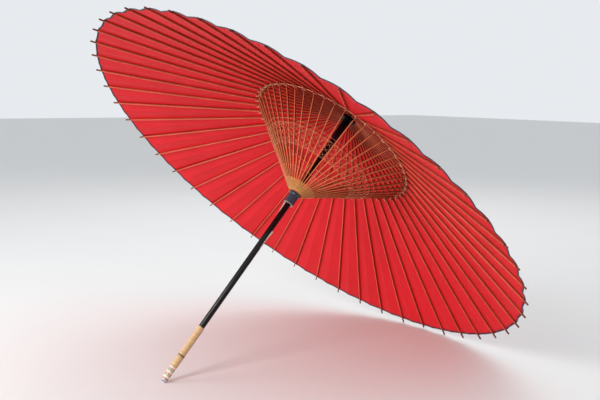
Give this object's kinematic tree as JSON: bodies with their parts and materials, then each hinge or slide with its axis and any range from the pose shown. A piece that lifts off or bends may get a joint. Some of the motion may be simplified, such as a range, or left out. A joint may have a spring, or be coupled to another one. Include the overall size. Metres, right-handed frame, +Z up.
{
  "type": "oil paper umbrella",
  "caption": "Open oil paper umbrella leaning on its ferrule and rim: lacquered shaft, folding bamboo ribs and stretchers, sliding runner with sprung latches, paper canopy.",
  "frame": {"origin": "middle of the bounding box's floor face: the floor is at z = 0 and the umbrella leans open on its ferrule and two rib tips", "axes": "+Z up, +X the way the shaft leans from its ferrule to its head, +Y across the canopy"},
  "size_m": [0.766, 1.0326, 0.6957],
  "materials": {
    "black_lacquer": "black gloss lacquer",
    "rattan": "split rattan wound tightly, satin",
    "printed_paper": "plain striped paper band, matt",
    "silver_metal": "polished metal",
    "teal_lacquer": "dark teal gloss lacquer",
    "oiled_paper": "oiled red paper, satin",
    "dark_paper": "dark waxed paper",
    "bamboo": "split bamboo, satin",
    "pale_bamboo": "pale split bamboo",
    "pale_horn": "pale polished bamboo"
  },
  "bodies": {
    "shaft_body": {"shaft": "black_lacquer", "grip_wrap": "rattan", "paper_band": "printed_paper", "ferrule": "silver_metal", "head_hub": "black_lacquer", "head_cap": "dark_paper", "canopy": "oiled_paper", "between_stretchers": "pale_bamboo"},
    "runner_body": {"runner": "teal_lacquer", "runner_collar": "pale_horn"},
    "rib_body_01": {"rib_01": "bamboo"},
    "stretcher_body_01": {"stretcher_01": "pale_bamboo"},
    "rib_body_02": {"rib_02": "bamboo"},
    "stretcher_body_02": {"stretcher_02": "pale_bamboo"},
    "rib_body_03": {"rib_03": "bamboo"},
    "stretcher_body_03": {"stretcher_03": "pale_bamboo"},
    "rib_body_04": {"rib_04": "bamboo"},
    "stretcher_body_04": {"stretcher_04": "pale_bamboo"},
    "rib_body_05": {"rib_05": "bamboo"},
    "stretcher_body_05": {"stretcher_05": "pale_bamboo"},
    "rib_body_06": {"rib_06": "bamboo"},
    "stretcher_body_06": {"stretcher_06": "pale_bamboo"},
    "rib_body_07": {"rib_07": "bamboo"},
    "stretcher_body_07": {"stretcher_07": "pale_bamboo"},
    "rib_body_08": {"rib_08": "bamboo"},
    "stretcher_body_08": {"stretcher_08": "pale_bamboo"},
    "rib_body_09": {"rib_09": "bamboo"},
    "stretcher_body_09": {"stretcher_09": "pale_bamboo"},
    "rib_body_10": {"rib_10": "bamboo"},
    "stretcher_body_10": {"stretcher_10": "pale_bamboo"},
    "rib_body_11": {"rib_11": "bamboo"},
    "stretcher_body_11": {"stretcher_11": "pale_bamboo"},
    "rib_body_12": {"rib_12": "bamboo"},
    "stretcher_body_12": {"stretcher_12": "pale_bamboo"},
    "rib_body_13": {"rib_13": "bamboo"},
    "stretcher_body_13": {"stretcher_13": "pale_bamboo"},
    "rib_body_14": {"rib_14": "bamboo"},
    "stretcher_body_14": {"stretcher_14": "pale_bamboo"},
    "rib_body_15": {"rib_15": "bamboo"},
    "stretcher_body_15": {"stretcher_15": "pale_bamboo"},
    "rib_body_16": {"rib_16": "bamboo"},
    "stretcher_body_16": {"stretcher_16": "pale_bamboo"},
    "rib_body_17": {"rib_17": "bamboo"},
    "stretcher_body_17": {"stretcher_17": "pale_bamboo"},
    "rib_body_18": {"rib_18": "bamboo"},
    "stretcher_body_18": {"stretcher_18": "pale_bamboo"},
    "rib_body_19": {"rib_19": "bamboo"},
    "stretcher_body_19": {"stretcher_19": "pale_bamboo"},
    "rib_body_20": {"rib_20": "bamboo"},
    "stretcher_body_20": {"stretcher_20": "pale_bamboo"},
    "rib_body_21": {"rib_21": "bamboo"},
    "stretcher_body_21": {"stretcher_21": "pale_bamboo"},
    "rib_body_22": {"rib_22": "bamboo"},
    "stretcher_body_22": {"stretcher_22": "pale_bamboo"},
    "rib_body_23": {"rib_23": "bamboo"},
    "stretcher_body_23": {"stretcher_23": "pale_bamboo"},
    "rib_body_24": {"rib_24": "bamboo"},
    "stretcher_body_24": {"stretcher_24": "pale_bamboo"},
    "latch_lower_body": {"latch_lower": "pale_horn"},
    "latch_upper_body": {"latch_upper": "pale_horn"}
  },
  "joints": [
    {"name": "runner_slide", "type": "slide", "parent": "shaft_body", "child": "runner_body", "axis": [-0.672, 0, -0.7406], "range_m": [0, 0.19366], "deforming": ["canopy", "between_stretchers"]},
    {"name": "rib_hinge_01", "type": "hinge", "parent": "shaft_body", "child": "rib_body_01", "pos_m": [0.14675, 0.0017, 0.4903], "axis": [-0.0967, 0.9914, 0.0877], "range_deg": [0, 65.82]},
    {"name": "stretcher_hinge_01", "type": "hinge", "parent": "rib_body_01", "child": "stretcher_body_01", "pos_m": [0.22193, 0.02376, 0.32376], "axis": [0.0967, -0.9914, -0.0877], "range_deg": [0, 115.56]},
    {"name": "rib_hinge_02", "type": "hinge", "parent": "shaft_body", "child": "rib_body_02", "pos_m": [0.1461, 0.00498, 0.49089], "axis": [-0.2834, 0.9239, 0.2571], "range_deg": [0, 65.82]},
    {"name": "stretcher_hinge_02", "type": "hinge", "parent": "rib_body_02", "child": "stretcher_body_02", "pos_m": [0.21282, 0.06966, 0.33203], "axis": [0.2834, -0.9239, -0.2571], "range_deg": [0, 115.56]},
    {"name": "rib_hinge_03", "type": "hinge", "parent": "shaft_body", "child": "rib_body_03", "pos_m": [0.14484, 0.00791, 0.49203], "axis": [-0.4508, 0.7934, 0.4091], "range_deg": [0, 65.82]},
    {"name": "stretcher_hinge_03", "type": "hinge", "parent": "rib_body_03", "child": "stretcher_body_03", "pos_m": [0.19522, 0.11081, 0.34799], "axis": [0.4508, -0.7934, -0.4091], "range_deg": [0, 115.56]},
    {"name": "rib_hinge_04", "type": "hinge", "parent": "shaft_body", "child": "rib_body_04", "pos_m": [0.14307, 0.01031, 0.49365], "axis": [-0.5875, 0.6088, 0.5331], "range_deg": [0, 65.82]},
    {"name": "stretcher_hinge_04", "type": "hinge", "parent": "rib_body_04", "child": "stretcher_body_04", "pos_m": [0.17034, 0.14441, 0.37057], "axis": [0.5875, -0.6088, -0.5331], "range_deg": [0, 115.56]},
    {"name": "rib_hinge_05", "type": "hinge", "parent": "shaft_body", "child": "rib_body_05", "pos_m": [0.14089, 0.01201, 0.49562], "axis": [-0.6842, 0.3827, 0.6208], "range_deg": [0, 65.82]},
    {"name": "stretcher_hinge_05", "type": "hinge", "parent": "rib_body_05", "child": "stretcher_body_05", "pos_m": [0.13986, 0.16817, 0.39823], "axis": [0.6842, -0.3827, -0.6208], "range_deg": [0, 115.56]},
    {"name": "rib_hinge_06", "type": "hinge", "parent": "shaft_body", "child": "rib_body_06", "pos_m": [0.13846, 0.01289, 0.49783], "axis": [-0.7342, 0.1305, 0.6662], "range_deg": [0, 65.82]},
    {"name": "stretcher_hinge_06", "type": "hinge", "parent": "rib_body_06", "child": "stretcher_body_06", "pos_m": [0.10587, 0.18047, 0.42907], "axis": [0.7342, -0.1305, -0.6662], "range_deg": [0, 115.56]},
    {"name": "rib_hinge_07", "type": "hinge", "parent": "shaft_body", "child": "rib_body_07", "pos_m": [0.13595, 0.01289, 0.50011], "axis": [-0.7342, -0.1305, 0.6662], "range_deg": [0, 65.82]},
    {"name": "stretcher_hinge_07", "type": "hinge", "parent": "rib_body_07", "child": "stretcher_body_07", "pos_m": [0.07068, 0.18047, 0.461], "axis": [0.7342, 0.1305, -0.6662], "range_deg": [0, 115.56]},
    {"name": "rib_hinge_08", "type": "hinge", "parent": "shaft_body", "child": "rib_body_08", "pos_m": [0.13352, 0.01201, 0.50231], "axis": [-0.6842, -0.3827, 0.6208], "range_deg": [0, 65.82]},
    {"name": "stretcher_hinge_08", "type": "hinge", "parent": "rib_body_08", "child": "stretcher_body_08", "pos_m": [0.03668, 0.16817, 0.49184], "axis": [0.6842, 0.3827, -0.6208], "range_deg": [0, 115.56]},
    {"name": "rib_hinge_09", "type": "hinge", "parent": "shaft_body", "child": "rib_body_09", "pos_m": [0.13134, 0.01031, 0.50428], "axis": [-0.5875, -0.6088, 0.5331], "range_deg": [0, 65.82]},
    {"name": "stretcher_hinge_09", "type": "hinge", "parent": "rib_body_09", "child": "stretcher_body_09", "pos_m": [0.00621, 0.14441, 0.5195], "axis": [0.5875, 0.6088, -0.5331], "range_deg": [0, 115.56]},
    {"name": "rib_hinge_10", "type": "hinge", "parent": "shaft_body", "child": "rib_body_10", "pos_m": [0.12957, 0.00791, 0.50589], "axis": [-0.4508, -0.7934, 0.4091], "range_deg": [0, 65.82]},
    {"name": "stretcher_hinge_10", "type": "hinge", "parent": "rib_body_10", "child": "stretcher_body_10", "pos_m": [-0.01868, 0.11081, 0.54207], "axis": [0.4508, 0.7934, -0.4091], "range_deg": [0, 115.56]},
    {"name": "rib_hinge_11", "type": "hinge", "parent": "shaft_body", "child": "rib_body_11", "pos_m": [0.12831, 0.00498, 0.50704], "axis": [-0.2834, -0.9239, 0.2571], "range_deg": [0, 65.82]},
    {"name": "stretcher_hinge_11", "type": "hinge", "parent": "rib_body_11", "child": "stretcher_body_11", "pos_m": [-0.03627, 0.06966, 0.55804], "axis": [0.2834, 0.9239, -0.2571], "range_deg": [0, 115.56]},
    {"name": "rib_hinge_12", "type": "hinge", "parent": "shaft_body", "child": "rib_body_12", "pos_m": [0.12766, 0.0017, 0.50763], "axis": [-0.0967, -0.9914, 0.0877], "range_deg": [0, 65.82]},
    {"name": "stretcher_hinge_12", "type": "hinge", "parent": "rib_body_12", "child": "stretcher_body_12", "pos_m": [-0.04538, 0.02376, 0.5663], "axis": [0.0967, 0.9914, -0.0877], "range_deg": [0, 115.56]},
    {"name": "rib_hinge_13", "type": "hinge", "parent": "shaft_body", "child": "rib_body_13", "pos_m": [0.12766, -0.0017, 0.50763], "axis": [0.0967, -0.9914, -0.0877], "range_deg": [0, 65.82]},
    {"name": "stretcher_hinge_13", "type": "hinge", "parent": "rib_body_13", "child": "stretcher_body_13", "pos_m": [-0.04538, -0.02376, 0.5663], "axis": [-0.0967, 0.9914, 0.0877], "range_deg": [0, 115.56]},
    {"name": "rib_hinge_14", "type": "hinge", "parent": "shaft_body", "child": "rib_body_14", "pos_m": [0.12831, -0.00498, 0.50704], "axis": [0.2834, -0.9239, -0.2571], "range_deg": [0, 65.82]},
    {"name": "stretcher_hinge_14", "type": "hinge", "parent": "rib_body_14", "child": "stretcher_body_14", "pos_m": [-0.03627, -0.06966, 0.55804], "axis": [-0.2834, 0.9239, 0.2571], "range_deg": [0, 115.56]},
    {"name": "rib_hinge_15", "type": "hinge", "parent": "shaft_body", "child": "rib_body_15", "pos_m": [0.12957, -0.00791, 0.50589], "axis": [0.4508, -0.7934, -0.4091], "range_deg": [0, 65.82]},
    {"name": "stretcher_hinge_15", "type": "hinge", "parent": "rib_body_15", "child": "stretcher_body_15", "pos_m": [-0.01868, -0.11081, 0.54207], "axis": [-0.4508, 0.7934, 0.4091], "range_deg": [0, 115.56]},
    {"name": "rib_hinge_16", "type": "hinge", "parent": "shaft_body", "child": "rib_body_16", "pos_m": [0.13134, -0.01031, 0.50428], "axis": [0.5875, -0.6088, -0.5331], "range_deg": [0, 65.82]},
    {"name": "stretcher_hinge_16", "type": "hinge", "parent": "rib_body_16", "child": "stretcher_body_16", "pos_m": [0.00621, -0.14441, 0.5195], "axis": [-0.5875, 0.6088, 0.5331], "range_deg": [0, 115.56]},
    {"name": "rib_hinge_17", "type": "hinge", "parent": "shaft_body", "child": "rib_body_17", "pos_m": [0.13352, -0.01201, 0.50231], "axis": [0.6842, -0.3827, -0.6208], "range_deg": [0, 65.82]},
    {"name": "stretcher_hinge_17", "type": "hinge", "parent": "rib_body_17", "child": "stretcher_body_17", "pos_m": [0.03668, -0.16817, 0.49184], "axis": [-0.6842, 0.3827, 0.6208], "range_deg": [0, 115.56]},
    {"name": "rib_hinge_18", "type": "hinge", "parent": "shaft_body", "child": "rib_body_18", "pos_m": [0.13595, -0.01289, 0.50011], "axis": [0.7342, -0.1305, -0.6662], "range_deg": [0, 65.82]},
    {"name": "stretcher_hinge_18", "type": "hinge", "parent": "rib_body_18", "child": "stretcher_body_18", "pos_m": [0.07068, -0.18047, 0.461], "axis": [-0.7342, 0.1305, 0.6662], "range_deg": [0, 115.56]},
    {"name": "rib_hinge_19", "type": "hinge", "parent": "shaft_body", "child": "rib_body_19", "pos_m": [0.13846, -0.01289, 0.49783], "axis": [0.7342, 0.1305, -0.6662], "range_deg": [0, 65.82]},
    {"name": "stretcher_hinge_19", "type": "hinge", "parent": "rib_body_19", "child": "stretcher_body_19", "pos_m": [0.10587, -0.18047, 0.42907], "axis": [-0.7342, -0.1305, 0.6662], "range_deg": [0, 115.56]},
    {"name": "rib_hinge_20", "type": "hinge", "parent": "shaft_body", "child": "rib_body_20", "pos_m": [0.14089, -0.01201, 0.49562], "axis": [0.6842, 0.3827, -0.6208], "range_deg": [0, 65.82]},
    {"name": "stretcher_hinge_20", "type": "hinge", "parent": "rib_body_20", "child": "stretcher_body_20", "pos_m": [0.13986, -0.16817, 0.39823], "axis": [-0.6842, -0.3827, 0.6208], "range_deg": [0, 115.56]},
    {"name": "rib_hinge_21", "type": "hinge", "parent": "shaft_body", "child": "rib_body_21", "pos_m": [0.14307, -0.01031, 0.49365], "axis": [0.5875, 0.6088, -0.5331], "range_deg": [0, 65.82]},
    {"name": "stretcher_hinge_21", "type": "hinge", "parent": "rib_body_21", "child": "stretcher_body_21", "pos_m": [0.17034, -0.14441, 0.37057], "axis": [-0.5875, -0.6088, 0.5331], "range_deg": [0, 115.56]},
    {"name": "rib_hinge_22", "type": "hinge", "parent": "shaft_body", "child": "rib_body_22", "pos_m": [0.14484, -0.00791, 0.49203], "axis": [0.4508, 0.7934, -0.4091], "range_deg": [0, 65.82]},
    {"name": "stretcher_hinge_22", "type": "hinge", "parent": "rib_body_22", "child": "stretcher_body_22", "pos_m": [0.19522, -0.11081, 0.34799], "axis": [-0.4508, -0.7934, 0.4091], "range_deg": [0, 115.56]},
    {"name": "rib_hinge_23", "type": "hinge", "parent": "shaft_body", "child": "rib_body_23", "pos_m": [0.1461, -0.00498, 0.49089], "axis": [0.2834, 0.9239, -0.2571], "range_deg": [0, 65.82]},
    {"name": "stretcher_hinge_23", "type": "hinge", "parent": "rib_body_23", "child": "stretcher_body_23", "pos_m": [0.21282, -0.06966, 0.33203], "axis": [-0.2834, -0.9239, 0.2571], "range_deg": [0, 115.56]},
    {"name": "rib_hinge_24", "type": "hinge", "parent": "shaft_body", "child": "rib_body_24", "pos_m": [0.14675, -0.0017, 0.4903], "axis": [0.0967, 0.9914, -0.0877], "range_deg": [0, 65.82]},
    {"name": "stretcher_hinge_24", "type": "hinge", "parent": "rib_body_24", "child": "stretcher_body_24", "pos_m": [0.22193, -0.02376, 0.32376], "axis": [-0.0967, -0.9914, 0.0877], "range_deg": [0, 115.56]},
    {"name": "latch_lower_press", "type": "hinge", "parent": "shaft_body", "child": "latch_lower_body", "pos_m": [-0.09441, -0.00363, 0.24119], "axis": [-0.6712, -0.4226, 0.609], "range_deg": [0, 4.4], "stiffness_Nm_per_rad": 1.2, "deforming": ["latch_lower"]},
    {"name": "latch_upper_press", "type": "hinge", "parent": "shaft_body", "child": "latch_upper_body", "pos_m": [-0.05142, 0.00363, 0.29359], "axis": [0.6712, 0.4226, -0.609], "range_deg": [0, 4.4], "stiffness_Nm_per_rad": 1.2, "deforming": ["latch_upper"]}
  ],
  "couplings": [
    {"joint": "rib_hinge_01", "follows": "runner_slide", "rad_per_m": 5.9301},
    {"joint": "stretcher_hinge_01", "follows": "runner_slide", "rad_per_m": 10.412},
    {"joint": "rib_hinge_02", "follows": "runner_slide", "rad_per_m": 5.9301},
    {"joint": "stretcher_hinge_02", "follows": "runner_slide", "rad_per_m": 10.412},
    {"joint": "rib_hinge_03", "follows": "runner_slide", "rad_per_m": 5.9301},
    {"joint": "stretcher_hinge_03", "follows": "runner_slide", "rad_per_m": 10.412},
    {"joint": "rib_hinge_04", "follows": "runner_slide", "rad_per_m": 5.9301},
    {"joint": "stretcher_hinge_04", "follows": "runner_slide", "rad_per_m": 10.412},
    {"joint": "rib_hinge_05", "follows": "runner_slide", "rad_per_m": 5.9301},
    {"joint": "stretcher_hinge_05", "follows": "runner_slide", "rad_per_m": 10.412},
    {"joint": "rib_hinge_06", "follows": "runner_slide", "rad_per_m": 5.9301},
    {"joint": "stretcher_hinge_06", "follows": "runner_slide", "rad_per_m": 10.412},
    {"joint": "rib_hinge_07", "follows": "runner_slide", "rad_per_m": 5.9301},
    {"joint": "stretcher_hinge_07", "follows": "runner_slide", "rad_per_m": 10.412},
    {"joint": "rib_hinge_08", "follows": "runner_slide", "rad_per_m": 5.9301},
    {"joint": "stretcher_hinge_08", "follows": "runner_slide", "rad_per_m": 10.412},
    {"joint": "rib_hinge_09", "follows": "runner_slide", "rad_per_m": 5.9301},
    {"joint": "stretcher_hinge_09", "follows": "runner_slide", "rad_per_m": 10.412},
    {"joint": "rib_hinge_10", "follows": "runner_slide", "rad_per_m": 5.9301},
    {"joint": "stretcher_hinge_10", "follows": "runner_slide", "rad_per_m": 10.412},
    {"joint": "rib_hinge_11", "follows": "runner_slide", "rad_per_m": 5.9301},
    {"joint": "stretcher_hinge_11", "follows": "runner_slide", "rad_per_m": 10.412},
    {"joint": "rib_hinge_12", "follows": "runner_slide", "rad_per_m": 5.9301},
    {"joint": "stretcher_hinge_12", "follows": "runner_slide", "rad_per_m": 10.412},
    {"joint": "rib_hinge_13", "follows": "runner_slide", "rad_per_m": 5.9301},
    {"joint": "stretcher_hinge_13", "follows": "runner_slide", "rad_per_m": 10.412},
    {"joint": "rib_hinge_14", "follows": "runner_slide", "rad_per_m": 5.9301},
    {"joint": "stretcher_hinge_14", "follows": "runner_slide", "rad_per_m": 10.412},
    {"joint": "rib_hinge_15", "follows": "runner_slide", "rad_per_m": 5.9301},
    {"joint": "stretcher_hinge_15", "follows": "runner_slide", "rad_per_m": 10.412},
    {"joint": "rib_hinge_16", "follows": "runner_slide", "rad_per_m": 5.9301},
    {"joint": "stretcher_hinge_16", "follows": "runner_slide", "rad_per_m": 10.412},
    {"joint": "rib_hinge_17", "follows": "runner_slide", "rad_per_m": 5.9301},
    {"joint": "stretcher_hinge_17", "follows": "runner_slide", "rad_per_m": 10.412},
    {"joint": "rib_hinge_18", "follows": "runner_slide", "rad_per_m": 5.9301},
    {"joint": "stretcher_hinge_18", "follows": "runner_slide", "rad_per_m": 10.412},
    {"joint": "rib_hinge_19", "follows": "runner_slide", "rad_per_m": 5.9301},
    {"joint": "stretcher_hinge_19", "follows": "runner_slide", "rad_per_m": 10.412},
    {"joint": "rib_hinge_20", "follows": "runner_slide", "rad_per_m": 5.9301},
    {"joint": "stretcher_hinge_20", "follows": "runner_slide", "rad_per_m": 10.412},
    {"joint": "rib_hinge_21", "follows": "runner_slide", "rad_per_m": 5.9301},
    {"joint": "stretcher_hinge_21", "follows": "runner_slide", "rad_per_m": 10.412},
    {"joint": "rib_hinge_22", "follows": "runner_slide", "rad_per_m": 5.9301},
    {"joint": "stretcher_hinge_22", "follows": "runner_slide", "rad_per_m": 10.412},
    {"joint": "rib_hinge_23", "follows": "runner_slide", "rad_per_m": 5.9301},
    {"joint": "stretcher_hinge_23", "follows": "runner_slide", "rad_per_m": 10.412},
    {"joint": "rib_hinge_24", "follows": "runner_slide", "rad_per_m": 5.9301},
    {"joint": "stretcher_hinge_24", "follows": "runner_slide", "rad_per_m": 10.412}
  ]
}
